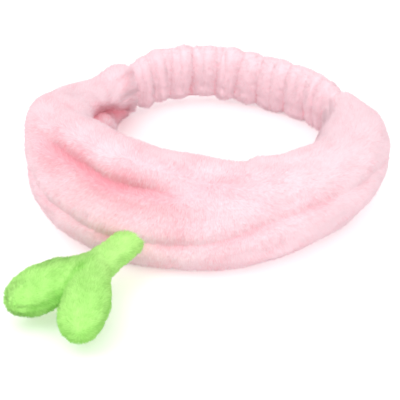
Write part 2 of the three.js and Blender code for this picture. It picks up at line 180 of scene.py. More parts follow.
def waves(seed, wavelength, count=14):
    """Wave vectors and phases of a smooth random field whose bumps are about so far apart."""
    rng = np.random.default_rng(seed)
    k = unit(rng.normal(size=(count, 3))) * (2 * math.pi / wavelength)
    return k * rng.uniform(0.7, 1.4, size=(count, 1)), rng.uniform(0, 2 * math.pi, count)


def ripple(points, seed, wavelength):
    """The field's value at each point, from about -1 to 1."""
    k, phase = waves(seed, wavelength)
    return np.sin(points @ k.T + phase).sum(1) / math.sqrt(len(k))


def ripple_slope(points, seed, wavelength):
    """The way uphill in the field, about 1 long."""
    k, phase = waves(seed, wavelength)
    slope = np.cos(points @ k.T + phase) @ k
    return slope * wavelength / (2 * math.pi) / math.sqrt(len(k))


# ---- The ring --------------------------------------------------------------------------------


class Ring:
    """The oval through the tube and the casing, and the sections that stand across it."""

    def __init__(self, sizes):
        self.sizes = sizes
        low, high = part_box("front_tube")
        self.middle_x = (low.x + high.x) / 2
        self.middle_y = low.y + sizes.tube_thickness / 2 + sizes.ring_front
        self.mean = (sizes.ring_half_width + sizes.ring_back) / 2

    def arc(self, degrees):
        return np.radians(degrees) * self.mean

    def depth(self, angle):
        front = np.sin(np.radians(angle)) < 0
        return np.where(front, self.sizes.ring_front, self.sizes.ring_back)

    def point(self, angle):
        power, a = 2 / RING_SQUARENESS, np.radians(angle)
        x = self.sizes.ring_half_width * signed_power(np.cos(a), power)
        y = self.depth(angle) * signed_power(np.sin(a), power)
        return np.stack([self.middle_x + x, self.middle_y + y, np.zeros_like(x)], -1)

    def outward(self, angle):
        power, a = 2 - 2 / RING_SQUARENESS, np.radians(angle)
        x = signed_power(np.cos(a), power) / self.sizes.ring_half_width
        y = signed_power(np.sin(a), power) / self.depth(angle)
        return unit(np.stack([x, y, np.zeros_like(x)], -1))

    def along(self, angle):
        out = self.outward(angle)
        return np.stack([-out[:, 1], out[:, 0], out[:, 2]], -1)


def section(turn, half_thick, half_high, roundness):
    """A rounded section's points (outward, up) and its own outward normals there."""
    a = np.radians(turn)
    c, s = np.cos(a), np.sin(a)
    out = half_thick * signed_power(c, 2 / roundness)
    up = half_high * signed_power(s, 2 / roundness)
    nx = signed_power(c, 2 - 2 / roundness) / half_thick
    nz = signed_power(s, 2 - 2 / roundness) / half_high
    size = np.hypot(nx, nz)
    return out, up, nx / size, nz / size


# ---- Meshes ----------------------------------------------------------------------------------


def deselect():
    if bpy.context.object and bpy.context.object.mode != "OBJECT":
        bpy.ops.object.mode_set(mode="OBJECT")
    bpy.ops.object.select_all(action="DESELECT")


def take(piece):
    """Selects one piece alone and makes it active."""
    deselect()
    piece.select_set(True)
    bpy.context.view_layer.objects.active = piece


def named(name):
    piece = bpy.context.object
    piece.name = piece.data.name = name
    return piece


def places(mesh):
    flat = np.empty(len(mesh.vertices) * 3)
    mesh.vertices.foreach_get("co", flat)
    return flat.reshape(-1, 3)


def move_to(mesh, points):
    mesh.vertices.foreach_set("co", np.ascontiguousarray(points, np.float32).ravel())
    mesh.update()


def normals_of(mesh):
    flat = np.empty(len(mesh.vertices) * 3)
    mesh.vertex_normals.foreach_get("vector", flat)
    return flat.reshape(-1, 3)


def write(mesh, name, values):
    """A number, or a direction, for each vertex."""
    kind, key = ("FLOAT", "value") if values.ndim == 1 else ("FLOAT_VECTOR", "vector")
    attribute = mesh.attributes.get(name) or mesh.attributes.new(name, kind, "POINT")
    attribute.data.foreach_set(key, np.ascontiguousarray(values, np.float32).ravel())


def read(mesh, name):
    attribute = mesh.attributes[name]
    wide = 1 if attribute.data_type == "FLOAT" else 3
    flat = np.empty(len(attribute.data) * wide)
    attribute.data.foreach_get("value" if wide == 1 else "vector", flat)
    return flat if wide == 1 else flat.reshape(-1, 3)


def apply(piece, kind, name="Finish", **settings):
    """Adds a modifier with these settings and applies it."""
    take(piece)
    modifier = piece.modifiers.new(name, kind)
    for key, value in settings.items():
        setattr(modifier, key, value)
    bpy.ops.object.modifier_apply(modifier=modifier.name)


def smooth(piece):
    take(piece)
    bpy.ops.object.shade_smooth()


def weld(piece):
    """Merges the vertices that lie on each other."""
    take(piece)
    bpy.ops.object.mode_set(mode="EDIT")
    bpy.ops.mesh.select_all(action="SELECT")
    bpy.ops.mesh.remove_doubles(threshold=1e-6)
    bpy.ops.object.mode_set(mode="OBJECT")


def sleeve(name, along, around):
    """A flat grid whose own coordinates are kept as shares along and around, to be rolled up."""
    deselect()
    bpy.ops.mesh.primitive_grid_add(x_subdivisions=along, y_subdivisions=around, size=1)
    piece = named(name)
    flat = places(piece.data)
    return piece, flat[:, 0] + 0.5, flat[:, 1] + 0.5


def roll_up(piece, points, tone, nap):
    """Moves a grid's vertices round, joins its two long edges and turns it to face outwards."""
    mesh = piece.data
    move_to(mesh, points)
    write(mesh, "tone", np.clip(tone, 0, 1))
    write(mesh, "nap", unit(nap))
    weld(piece)
    highest = int(places(mesh)[:, 2].argmax())
    if normals_of(mesh)[highest][2] < 0:
        bpy.ops.object.mode_set(mode="EDIT")
        bpy.ops.mesh.select_all(action="SELECT")
        bpy.ops.mesh.flip_normals()
        bpy.ops.object.mode_set(mode="OBJECT")
    smooth(piece)


# ---- Materials -------------------------------------------------------------------------------


def group(name, inputs, outputs):
    """An empty node group with named sockets, and its two ends."""
    tree = bpy.data.node_groups.new(name, "ShaderNodeTree")
    for label, kind, value in inputs:
        socket = tree.interface.new_socket(label, in_out="INPUT", socket_type=kind)
        if value is not None:
            socket.default_value = value
    for label, kind in outputs:
        tree.interface.new_socket(label, in_out="OUTPUT", socket_type=kind)
    return tree, tree.nodes.new("NodeGroupInput"), tree.nodes.new("NodeGroupOutput")


def maths(tree, operation, a, b=None, clamp=False):
    node = tree.nodes.new("ShaderNodeMath")
    node.operation, node.use_clamp = operation, clamp
    for socket, value in zip(node.inputs, (a, b)):
        if isinstance(value, bpy.types.NodeSocket):
            tree.links.new(value, socket)
        elif value is not None:
            socket.default_value = value
    return node.outputs[0]


def blended(tree, share, a, b, mode="MIX"):
    node = tree.nodes.new("ShaderNodeMix")
    node.data_type, node.blend_type = "RGBA", mode
    for socket, value in ((node.inputs[0], share), (node.inputs[6], a), (node.inputs[7], b)):
        if isinstance(value, bpy.types.NodeSocket):
            tree.links.new(value, socket)
        else:
            socket.default_value = value
    return node.outputs[2]


def noise(tree, vector, scale, detail=2.0, roughness=0.5):
    node = tree.nodes.new("ShaderNodeTexNoise")
    tree.links.new(vector, node.inputs["Vector"])
    node.inputs["Scale"].default_value = scale
    node.inputs["Detail"].default_value = detail
    node.inputs["Roughness"].default_value = roughness
    return node.outputs["Fac"]


def pile_group():
    """Colour of a pile fibre: deeper at its root and paler to its tip, and from the deep colour of
    painted crease shade to the pale pile.
    """
    tree, start, end = group(
        "Plush pile colour",
        [
            ("Ground", "NodeSocketColor", (1, 1, 1, 1)),
            ("Tip", "NodeSocketColor", (1, 1, 1, 1)),
            ("Openness", "NodeSocketFloat", 0.5),
            ("Height", "NodeSocketFloat", 0.5),
        ],
        [("Color", "NodeSocketColor")],
    )
    lift = maths(tree, "MULTIPLY_ADD", start.outputs["Height"], 0.30)
    lift.node.inputs[2].default_value = 0.90
    share = maths(tree, "MULTIPLY", start.outputs["Openness"], lift, clamp=True)
    made = blended(tree, share, start.outputs["Ground"], start.outputs["Tip"])
    tree.links.new(made, end.inputs["Color"])
    return tree


def knit_group():
    """The knitted ground under the pile: fine loops in colour and height."""
    tree, start, end = group(
        "Knit ground",
        [("Vector", "NodeSocketVector", None), ("Scale", "NodeSocketFloat", 900.0)],
        [("Shade", "NodeSocketFloat"), ("Height", "NodeSocketFloat")],
    )
    node = tree.nodes.new("ShaderNodeTexNoise")
    node.inputs["Detail"].default_value = 3
    tree.links.new(start.outputs["Vector"], node.inputs["Vector"])
    tree.links.new(start.outputs["Scale"], node.inputs["Scale"])
    broad = noise(tree, start.outputs["Vector"], 140, 2)
    shade = maths(tree, "MULTIPLY_ADD", node.outputs["Fac"], 0.5)
    tree.links.new(maths(tree, "MULTIPLY", broad, 0.5), shade.node.inputs[2])
    tree.links.new(shade, end.inputs["Shade"])
    tree.links.new(node.outputs["Fac"], end.inputs["Height"])
    return tree


def strand_group():
    """Spun or woven yarn: bands that wind across the coordinates, with a little fuzz."""
    tree, start, end = group(
        "Yarn",
        [("Vector", "NodeSocketVector", None), ("Scale", "NodeSocketFloat", 400.0)],
        [("Shade", "NodeSocketFloat"), ("Height", "NodeSocketFloat")],
    )
    wave = tree.nodes.new("ShaderNodeTexWave")
    wave.bands_direction = "DIAGONAL"
    wave.inputs["Distortion"].default_value = 1.5
    wave.inputs["Detail"].default_value = 2
    tree.links.new(start.outputs["Vector"], wave.inputs["Vector"])
    tree.links.new(start.outputs["Scale"], wave.inputs["Scale"])
    fuzz = noise(tree, start.outputs["Vector"], 1500, 2)
    shade = maths(tree, "MULTIPLY_ADD", wave.outputs["Fac"], 0.7)
    tree.links.new(maths(tree, "MULTIPLY", fuzz, 0.3), shade.node.inputs[2])
    tree.links.new(shade, end.inputs["Shade"])
    tree.links.new(wave.outputs["Fac"], end.inputs["Height"])
    return tree


def group_named(name, make):
    return bpy.data.node_groups.get(name) or make()


def material(name, roughness, sheen=0.0, sheen_tint=(1, 1, 1)):
    """A new material with its own Principled shader, and the parts that it is built from."""
    made = bpy.data.materials.new(name)
    made.use_nodes = True
    shader = made.node_tree.nodes["Principled BSDF"]
    shader.inputs["Roughness"].default_value = roughness
    shader.inputs["Specular IOR Level"].default_value = 0.15
    shader.inputs["Sheen Weight"].default_value = sheen
    shader.inputs["Sheen Roughness"].default_value = 0.6
    shader.inputs["Sheen Tint"].default_value = (*sheen_tint, 1)
    return made, made.node_tree, shader


def use_group(tree, made, **values):
    node = tree.nodes.new("ShaderNodeGroup")
    node.node_tree = made
    for key, value in values.items():
        socket = node.inputs[key.replace("_", " ").capitalize()]
        if isinstance(value, bpy.types.NodeSocket):
            tree.links.new(value, socket)
        else:
            socket.default_value = value
    return node


def bump(tree, shader, height, distance, strength=0.6):
    node = tree.nodes.new("ShaderNodeBump")
    node.inputs["Distance"].default_value = distance
    node.inputs["Strength"].default_value = strength
    tree.links.new(height, node.inputs["Height"])
    tree.links.new(node.outputs["Normal"], shader.inputs["Normal"])


def attribute(tree, name):
    node = tree.nodes.new("ShaderNodeAttribute")
    node.attribute_name = name
    return node


def fleece_ground(name, deep, pale):
    """The knitted cloth that the pile grows from, with painted shade deepening its colour in the
    creases.
    """
    made, tree, shader = material(name, 0.95, sheen=0.25, sheen_tint=tuple(pale))
    where = tree.nodes.new("ShaderNodeTexCoord").outputs["Object"]
    knit = use_group(tree, group_named("Knit ground", knit_group), Vector=where, Scale=900.0)
    paleness = maths(tree, "MULTIPLY", attribute(tree, "tone").outputs["Fac"], 0.9)
    coloured = use_group(
        tree,
        group_named("Plush pile colour", pile_group),
        Ground=(*deep, 1),
        Tip=(*pale, 1),
        Openness=paleness,
        Height=knit.outputs["Shade"],
    )
    tree.links.new(coloured.outputs["Color"], shader.inputs["Base Color"])
    bump(tree, shader, knit.outputs["Height"], 0.0005)
    return made


def pile_finish(name, deep, pale):
    """The fibres: their map's first value is how pale the pile is, lowered by painted shade in creases
    and hollows, its second the height.
    """
    made, tree, shader = material(name, 1.0)
    shader.inputs["Specular IOR Level"].default_value = 0
    where = tree.nodes.new("ShaderNodeUVMap")
    where.uv_map = "OFBake"
    split = tree.nodes.new("ShaderNodeSeparateXYZ")
    tree.links.new(where.outputs["UV"], split.inputs[0])
    coloured = use_group(
        tree,
        group_named("Plush pile colour", pile_group),
        Ground=(*deep, 1),
        Tip=(*pale, 1),
        Openness=split.outputs["X"],
        Height=split.outputs["Y"],
    )
    tree.links.new(coloured.outputs["Color"], shader.inputs["Base Color"])
    return made


def yarn_finish(name, base, scale, depth, roughness=0.7):
    """Thread, elastic or loose fibre: yarn bands in shade and height."""
    made, tree, shader = material(name, roughness, sheen=0.2)
    where = tree.nodes.new("ShaderNodeTexCoord").outputs["Object"]
    yarn = use_group(tree, group_named("Yarn", strand_group), Vector=where, Scale=scale)
    dark = tuple(c * 0.6 for c in base)
    made_colour = blended(tree, yarn.outputs["Shade"], (*dark, 1), (*base, 1))
    tree.links.new(made_colour, shader.inputs["Base Color"])
    bump(tree, shader, yarn.outputs["Height"], depth)
    return made


def dress(piece, finish):
    piece.data.materials.clear()
    piece.data.materials.append(finish)


# ---- Pile ------------------------------------------------------------------------------------


def scatter(mesh, density, rng, share=None):
    """Roots spread evenly over a skin: their places, normals, naps and tones."""
    mesh.calc_loop_triangles()
    corners = np.empty(len(mesh.loop_triangles) * 3, np.int64)
    mesh.loop_triangles.foreach_get("vertices", corners)
    corners = corners.reshape(-1, 3)
    at, up = places(mesh), normals_of(mesh)
    a, b, c = (at[corners[:, k]] for k in range(3))
    area = np.linalg.norm(np.cross(b - a, c - a), axis=1) / 2
    if share is not None:
        area = area * share[corners].mean(1)
    count = int(area.sum() * density * 1e6)
    chosen = corners[rng.choice(len(area), count, p=area / area.sum())]
    s, t = np.sqrt(rng.random(count)), rng.random(count)
    weight = np.stack([1 - s, s * (1 - t), s * t], -1)

    def spread(values):
        held = values[chosen]
        return (held * (weight if held.ndim == 2 else weight[..., None])).sum(1)

    return spread(at), unit(spread(up)), unit(spread(read(mesh, "nap"))), spread(read(mesh, "tone"))


def fibres(roots, up, nap, tone, rng, reach, width, clump=0.0032, lean=0.5):
    """Closed three-sided fibres that lean with the nap and gather into soft tufts."""
    nap = unit(nap - (nap * up).sum(1, keepdims=True) * up)
    side = np.cross(up, nap)
    slope = ripple_slope(roots, 31, clump)
    slope -= (slope * up).sum(1, keepdims=True) * up
    level = ripple(roots, 31, clump)
    drift = ripple(roots, 47, 0.021)[:, None] * side * 0.2
    direction = up + lean * nap + drift + 0.16 * rng.normal(size=roots.shape)
    tall = reach * (0.8 + 0.3 * rng.random(len(roots)) + 0.12 * level)[:, None]
    tips = roots + unit(direction) * tall + slope * clump * 0.09
    spin = rng.random(len(roots)) * 2 * math.pi
    corners = []
    for k in range(3):
        turn = (spin + k * 2 * math.pi / 3)[:, None]
        away = np.cos(turn) * side + np.sin(turn) * np.cross(side, up)
        corners.append(roots - up * width * 0.5 + away * width)
    points = np.stack([*corners, tips], 1)
    points[..., 2] = np.maximum(points[..., 2], 0.1 * MM)
    leaning = unit(up + 0.08 * rng.normal(size=roots.shape) - 0.10 * slope)
    # The pile is deeper between the tufts as painted shade, and each fibre's tone also varies at
    # random.
    paleness = np.clip(tone + 0.07 * level + 0.15 * rng.normal(size=len(roots)), 0.02, 0.98)
    return points, leaning, paleness


def pile_piece(name, points, leaning, paleness, finish):
    """One piece of the fibres, four corners and four faces each. They shade neither each other
    nor the skin under them, so the pile is as soft as the surface that it grows from."""
    count = len(points)
    mesh = bpy.data.meshes.new(name)
    mesh.vertices.add(count * 4)
    move_to(mesh, points.reshape(-1, 3))
    faces = np.array([[0, 2, 1], [0, 1, 3], [1, 2, 3], [2, 0, 3]])
    a, b, c, tip = (points[:, k] for k in range(4))
    inward = (np.cross(b - a, c - a) * (tip - a)).sum(1) < 0
    corners = np.where(inward[:, None, None], faces[:, ::-1], faces)
    corners = corners + np.arange(count)[:, None, None] * 4
    mesh.loops.add(count * 12)
    mesh.loops.foreach_set("vertex_index", corners.ravel().astype(np.int32))
    mesh.polygons.add(count * 4)
    mesh.polygons.foreach_set("loop_start", np.arange(count * 4, dtype=np.int32) * 3)
    mesh.polygons.foreach_set("use_smooth", np.ones(count * 4, bool))
    mesh.update(calc_edges=True)
    height = np.where(corners.reshape(-1) % 4 == 3, 0.98, 0.02)
    across = np.repeat(paleness, 12)
    layer = mesh.uv_layers.new(name="OFBake")
    layer.uv.foreach_set("vector", np.stack([across, height], -1).astype(np.float32).ravel())
    mesh.normals_split_custom_set_from_vertices(np.repeat(leaning, 4, axis=0).tolist())
    piece = bpy.data.objects.new(name, mesh)
    bpy.context.scene.collection.objects.link(piece)
    piece.visible_shadow = False
    piece.visible_diffuse = False
    dress(piece, finish)
    return piece


# ---- Front tube ------------------------------------------------------------------------------


def tube_size(ring, angle):
    sizes = ring.sizes
    from_mouth = ring.arc(np.minimum(angle - TUBE_ARC[0], TUBE_ARC[1] - angle))
    full, fat = ease(from_mouth / sizes.mouth_taper), ease(from_mouth / sizes.mouth_thinning)
    slim = sizes.slimming * hump(angle - SLIMMEST_AT, SLIM_SPREAD)
    thick = mix(sizes.mouth_thickness, (1 - slim) * sizes.tube_thickness, fat) / 2
    high = mix(sizes.mouth_height, (1 - slim / 2) * sizes.tube_height, full) / 2
    return thick, high, sizes.foot * full, mix(2.0, TUBE_SQUARENESS, full), full, from_mouth


def seam_turn(angle):
    left = mix(4, -14, ease((angle - 180) / 83))
    right = mix(-14, 13, ease((angle - 263) / 62))
    return np.where(angle < 263, left, right)


def beside(out, up, size, turn, path):
    """Signed distance in the section from a line that runs along the tube at a turn."""
    thick, high, _, roundness = size[:4]
    at_out, at_up, *_ = section(path, thick, high, roundness)
    return np.hypot(out - at_out, up - at_up) * np.sign(turned(turn, path))


def between(angle, start, rising, end, falling):
    """1 inside a stretch of the ring, rising and falling softly at its two ends, in degrees."""
    return ease((angle - start) / rising) * ease((end - angle) / falling)


class TubeSurface:
    """The front tube before its folds. Turns are degrees round its section, 0 outwards and 90 up,
    angles are degrees round the ring, and distances and heights are in millimetres."""

    def __init__(self, ring, angle, turn, size, out, up):
        self.ring, self.angle, self.turn, self.size = ring, angle, turn, size
        self.out, self.up = out, up
        self.shown = 0.35 + 0.65 * size[4]
        self.from_mouth = size[5] / MM
        self.seam = self.line(seam_turn(angle))
        self.by_seam = np.abs(turned(turn, seam_turn(angle))) < 75
        self.inner_side = np.cos(np.radians(turn)) < 0.35

    def line(self, path):
        """Distance from a line that runs along the tube at this turn of its section."""
        return beside(self.out, self.up, self.size, self.turn, path + 0 * self.angle) / MM

    def spot(self, at_angle, at_turn, along, across):
        """1 at the middle of a small round patch."""
        far = self.ring.arc(self.angle - at_angle) / MM
        return hump(far, along) * hump(self.line(at_turn), across)


def seam_groove(tube):
    """The long seam: a narrow groove between two low welts, with painted shade deepening the colour in
    the groove.
    """
    welts = 1.5 * hump(np.abs(tube.seam) - 8, 5.5) - 3.6 * hump(tube.seam, 2.3)
    dark = 0.30 * tube.by_seam * tube.shown * hump(tube.seam, 3.0)
    return tube.shown * tube.by_seam * welts, dark


def sprout_fold(tube):
    """The fold over the sprout: the upper side rolls down over a deep crease."""
    here = between(tube.angle, 214, 20, 281, 18)
    crease = tube.line(mix(49, 37, ease((tube.angle - 236) / 26)))
    relief = 4.5 * hump(crease - 15, 10) * (crease > -4) - 8.5 * hump(crease, 4.0)
    relief -= 2.2 * hump(crease + 11, 8)
    under_roll = mix(7.0, 13.0, (crease < 0) * 1.0)
    # The tone is deepened in and under the crease as painted shade.
    deep = mix(0.75, 1.0, hump(crease, 3.0)) * hump(crease, under_roll)
    return here * relief, 0.85 * here * deep


def left_pocket(tube):
    """The open pocket on the inner side, next to the left mouth, deepened inside by painted shade."""
    here = tube.inner_side * between(tube.angle, 144, 8, 206, 22)
    middle = tube.line(mix(222, 160, ease((tube.angle - 146) / 34)))
    relief = 2.2 * hump(middle - 13, 8) - 9.5 * hump(middle, 5.0)
    return here * relief, 1.105 * here * hump(middle, 7.0)


def left_side(tube):
    """The slack outer side at the left, with a fuller edge over it."""
    angle, seam = tube.angle, tube.seam
    here = between(angle, 152, 22, 250, 30) * tube.by_seam
    relief = here * (1.6 * hump(seam - 19, 13) + 1.2 * hump(seam + 17, 11) - 2.0 * hump(seam, 4))
    relief -= 6.2 * hump(angle - 186, 27) * hump(turned(tube.turn, -4), 46)
    relief += 2.5 * hump(angle - 198, 18) * hump(turned(tube.turn, 62), 28)
    return relief, 0


def right_roll(tube):
    """The roll that runs up over the right of the front, and the shoulder past it."""
    here = between(tube.angle, 298, 9, 346, 20)
    along = ease((tube.angle - 300) / 45)
    relief = here * 4.2 * hump(tube.line(mix(124, 100, along)), 9)
    relief -= here * 1.8 * hump(tube.line(mix(104, 78, along)), 8)
    relief += 3.0 * between(tube.angle, 340, 20, 392, 14) * hump(tube.line(70), 20)
    return relief, -0.10 * ease((tube.angle - 285) / 40)


def front_fullness(tube):
    """Where the front is slack on top and full below, and its soft dimples, with painted shade
    deepening the colour broadly over the middle of the front and in the dimples.
    """
    relief = -1.4 * between(tube.angle, 258, 10, 306, 10) * hump(tube.line(100), 18)
    below = 1.8 * hump(tube.angle - 256, 16) - 2.8 * hump(tube.angle - 322, 28)
    relief += below * hump(tube.line(-48), 20)
    relief -= 2.6 * tube.spot(278, 56, 9, 8) + 2.8 * tube.spot(312, 25, 9, 5)
    relief -= 2.0 * tube.spot(294, 66, 12, 7)
    dimples = tube.spot(296, 62, 9, 8) + tube.spot(318, 22, 8, 5) + tube.spot(281, 48, 8, 9)
    broad = hump(tube.angle - 258, 42) * hump(turned(tube.turn, 40), 75)
    return relief, 0.20 * broad + 0.28 * dimples


def mouth_pleats(tube):
    """Small pleats where a mouth is drawn in on the casing, deepened near the mouth by painted shade.
    """
    pleats = np.cos(np.radians(9 * tube.turn + 40))
    pleats += 0.6 * np.cos(np.radians(14 * tube.turn - tube.angle))
    relief = 0.7 * pleats * np.exp(-tube.from_mouth / 11) - 2.2 * hump(tube.from_mouth, 4.5)
    return relief, 0.12 * np.exp(-tube.from_mouth / 7)


FRONT_FOLDS = (
    seam_groove,
    sprout_fold,
    left_pocket,
    left_side,
    right_roll,
    front_fullness,
    mouth_pleats,
)


def front_relief(ring, angle, turn, size, out, up):
    """How far the front tube's surface stands out of its plain section, and its tone, which the folds
    mostly deepen with painted shade.
    """
    tube = TubeSurface(ring, angle, turn, size, out, up)
    relief, tone = 0, 0.88
    for fold in FRONT_FOLDS:
        stands_out, darker = fold(tube)
        relief, tone = relief + stands_out, tone - darker
    thickest_dent = 0.5 * size[0] / MM
    return np.maximum(relief, -thickest_dent) * MM, tone


def front_skin(ring):
    """The fleece tube's cloth, from one mouth round the front to the other."""
    piece, along, around = sleeve("front_plush", 330, 110)
    angle = mix(TUBE_ARC[0] + 0.15, TUBE_ARC[1] - 0.15, along)
    turn = around * 360 - 180
    size = tube_size(ring, angle)
    thick, high, foot, roundness = size[:4]
    inset = 1.3 * MM
    out, up, nx, nz = section(turn, thick - inset, high - inset, roundness)
    relief, tone = front_relief(ring, angle, turn, size, out, up)
    # Broad random patches in the tone are painted sheen, for the mottled light and dark of the nap.
    tone = tone + 0.11 * ripple(np.stack([angle * 1.5, turn * 0.6, 0 * angle], -1) * MM, 61, 0.024)
    uneven = ripple(np.stack([angle * 1.5, turn * 0.8, 0 * angle], -1) * MM, 5, 0.030)
    relief = relief + 0.55 * MM * uneven
    flat_top = between(angle, 145, 14, 192, 20)
    up = up - 5 * MM * flat_top * ease(up / high)
    out, up = out + nx * relief, up + nz * relief
    points = ring.point(angle) + ring.outward(angle) * out[:, None]
    points[:, 2] = np.maximum(high - foot + up, inset)
    nap = np.stack([0 * turn, 0.7 + 0 * turn, -nx - 0.3], -1)
    roll_up(piece, points, tone, nap)
    return piece


def sparse_below(mesh, least=0.35):
    """Less pile where the skin faces the floor, because it is hidden and pressed there."""
    return np.where(normals_of(mesh)[:, 2] < -0.75, least, 1.0)


def centre_angle(ring, points):
    return np.degrees(np.arctan2(points[:, 1] - ring.middle_y, points[:, 0] - ring.middle_x)) % 360


class HEADBAND_OT_front_tube(bpy.types.Operator):
    """Builds the plush front tube with its seam, folds and pile"""

    bl_idname = "headband.front_tube"
    bl_label = "Front tube"

    def execute(self, context):
        sizes, hues = context.scene.headband_sizes, context.scene.headband_colours
        ring = Ring(sizes)
        skin = front_skin(ring)
        rng = np.random.default_rng(7)
        roots, up, nap, tone = scatter(skin.data, 4.6, rng, sparse_below(skin.data))
        made = fibres(roots, up, nap, tone, rng, sizes.pile, 0.20 * MM)
        finish = pile_finish("Pink pile", hues.pink_crease_shade, hues.pink_pale)
        angle = centre_angle(ring, roots)
        part = np.digitize((angle - 30) % 360, [150, 195, 237, 279, 318])
        for k in np.unique(part):
            chosen = part == k
            piece = pile_piece(f"front_pile_{k + 1}", *(v[chosen] for v in made), finish)
            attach(piece, FRONT)
        apply(skin, "SOLIDIFY", thickness=0.0022, offset=-1, use_rim=True)
        ground = fleece_ground("Pink fleece ground", hues.pink_crease_shade, hues.pink_pale)
        dress(skin, ground)
        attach(skin, FRONT)
        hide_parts("front_tube")
        return {"FINISHED"}


# ---- Gathered back ---------------------------------------------------------------------------


def stretch(piece):
    """Bakes a piece of the back's placement into its mesh."""
    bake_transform(piece)


def gathers(shares, rng, count, slant, turn):
    """Soft ruffles of uneven width: 1 on their crests, 0 in the valleys between."""
    edges = np.cumsum(rng.uniform(0.6, 1.4, count + 1))
    edges = (edges - edges[0]) / (edges[-1] - edges[0])
    depth = rng.uniform(0.45, 1.0, count)
    lean = rng.uniform(-1, 1, count)
    row = np.clip(np.searchsorted(edges, shares, side="right") - 1, 0, count - 1)
    skew = slant * lean[row] * np.sin(np.radians(turn))
    moved = np.clip(shares + skew, 0, 0.99999)
    row = np.clip(np.searchsorted(edges, moved, side="right") - 1, 0, count - 1)
    local = (moved - edges[row]) / (edges[row + 1] - edges[row])
    return (np.sin(np.pi * local) ** 0.75) * depth[row]


def casing_skin(ring):
    """The gathered casing's cloth, deepest in its lower half, with its ends inside the mouths."""
    piece, along, around = sleeve("back_ruffle", 400, 84)
    sizes = ring.sizes
    in_mouth = 8 * MM
    extra = math.degrees(in_mouth / ring.mean)
    angle = mix(CASING_ARC[0] - extra, CASING_ARC[1] + extra, along)
    turn = around * 360 - 90
    past = ring.arc((CASING_ARC[1] - CASING_ARC[0]) / 2 - np.abs(angle - 90))
    spread, settled = ease(past / 0.014), ease(past / 0.028)
    inset = 1.4 * MM
    thick = mix(sizes.casing_end_thickness, sizes.casing_thickness, spread) / 2
    high = mix(sizes.casing_end, sizes.casing_height, spread) / 2
    at_mouth = sizes.mouth_height / 2
    raised = 4.0 * MM * ease((angle - 74) / 30)
    middle = mix(at_mouth, sizes.casing_height / 2 + raised, settled)
    out, up, nx, nz = section(turn, thick - inset, high - inset, 2.1)
    rng = np.random.default_rng(23)
    broad = gathers(along, rng, 12, 0.018, turn)
    fine = gathers(along, rng, 19, 0.009, turn + 50)
    low = ease((0.25 - np.sin(np.radians(turn))) / 0.9)
    open_part = 0.35 + 0.65 * spread
    relief = open_part * (mix(2.4, 4.6, low) * (broad - 0.55) + mix(1.5, 1.0, low) * (fine - 0.5))
    inner = np.cos(np.radians(turn)) < 0.3
    relief += spread * inner * 1.2 * hump(turned(turn, 236), 24)
    relief -= spread * inner * 0.6 * hump(turned(turn, 207), 12)
    relief = relief * MM
    out, up = out + nx * relief, up + nz * relief * 0.6
    points = ring.point(angle) + ring.outward(angle) * out[:, None]
    points[:, 2] = np.maximum(middle + up, 0.5 * MM)
    # Painted shade deepens the colour in the valleys of the gathers, most in the lower half.
    tone = 1.0 - 0.75 * hump(broad, 0.20) * mix(0.35, 1.0, low) - 0.14 * hump(fine, 0.25)
    nap = np.stack([0 * turn, 0.5 + 0 * turn, -1 + 0 * turn], -1)
    roll_up(piece, points, tone, nap)
    return piece


class HEADBAND_OT_back_casing(bpy.types.Operator):
    """Builds the gathered back casing with its pile"""

    bl_idname = "headband.back_casing"
    bl_label = "Back casing"

    def execute(self, context):
        sizes, hues = context.scene.headband_sizes, context.scene.headband_colours
        ring = Ring(sizes)
        skin = casing_skin(ring)
        rng = np.random.default_rng(11)
        roots, up, nap, tone = scatter(skin.data, 4.6, rng, sparse_below(skin.data))
        made = fibres(roots, up, nap, tone, rng, sizes.pile * 0.85, 0.22 * MM, clump=0.0038)
        finish = bpy.data.materials["Pink pile"]
        part = (roots[:, 0] > ring.middle_x).astype(int)
        for k, side in enumerate(("left", "right")):
            chosen = part == k
            piece = pile_piece(f"back_pile_{side}", *(v[chosen] for v in made), finish)
            stretch(piece)
        apply(skin, "SOLIDIFY", thickness=0.0016, offset=-1, use_rim=True)
        dress(skin, bpy.data.materials["Pink fleece ground"])
        stretch(skin)
        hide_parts("back_casing")
        return {"FINISHED"}


# ---- Sprout ----------------------------------------------------------------------------------


def sprout_place(x, y, z=0.0):
    """A place in the sprout's own frame: x along the stem from its bend, y to the side."""
    pivot = JOINTS["sprout_nod"]["pos_m"]
    c, s = math.cos(SPROUT_TURN), math.sin(SPROUT_TURN)
    return np.stack([pivot[0] + c * x - s * y, pivot[1] + s * x + c * y, pivot[2] + z + 0 * x], -1)


def sprout_local(points):
    pivot = np.array(JOINTS["sprout_nod"]["pos_m"])
    c, s = math.cos(SPROUT_TURN), math.sin(SPROUT_TURN)
    d = points - pivot
    return np.stack([c * d[:, 0] + s * d[:, 1], -s * d[:, 0] + c * d[:, 1], d[:, 2]], -1)


def stem_drop():
    return JOINTS["sprout_nod"]["pos_m"][2] - JOINTS["left_leaf_flex"]["pos_m"][2]


def hang(x, sizes):
    """How far the leaves hang down towards their tips."""
    return LEAF_HANG * ease((x - sizes.fork) / sizes.leaf_length)


def middle_height(x, sizes):
    """Height of the sprout's middle plane over its bend, at a distance out along it."""
    return -stem_drop() * ease(x / sizes.fork) - hang(x, sizes)


def ball(segments=64, rings=48):
    """A fine ball whose poles lie along its own x, to be drawn out into a lobe."""
    deselect()
    bpy.ops.mesh.primitive_uv_sphere_add(segments=segments, ring_count=rings, radius=1)
    piece = bpy.context.object
    flat = places(piece.data)
    return piece, flat[:, [2, 0, 1]]


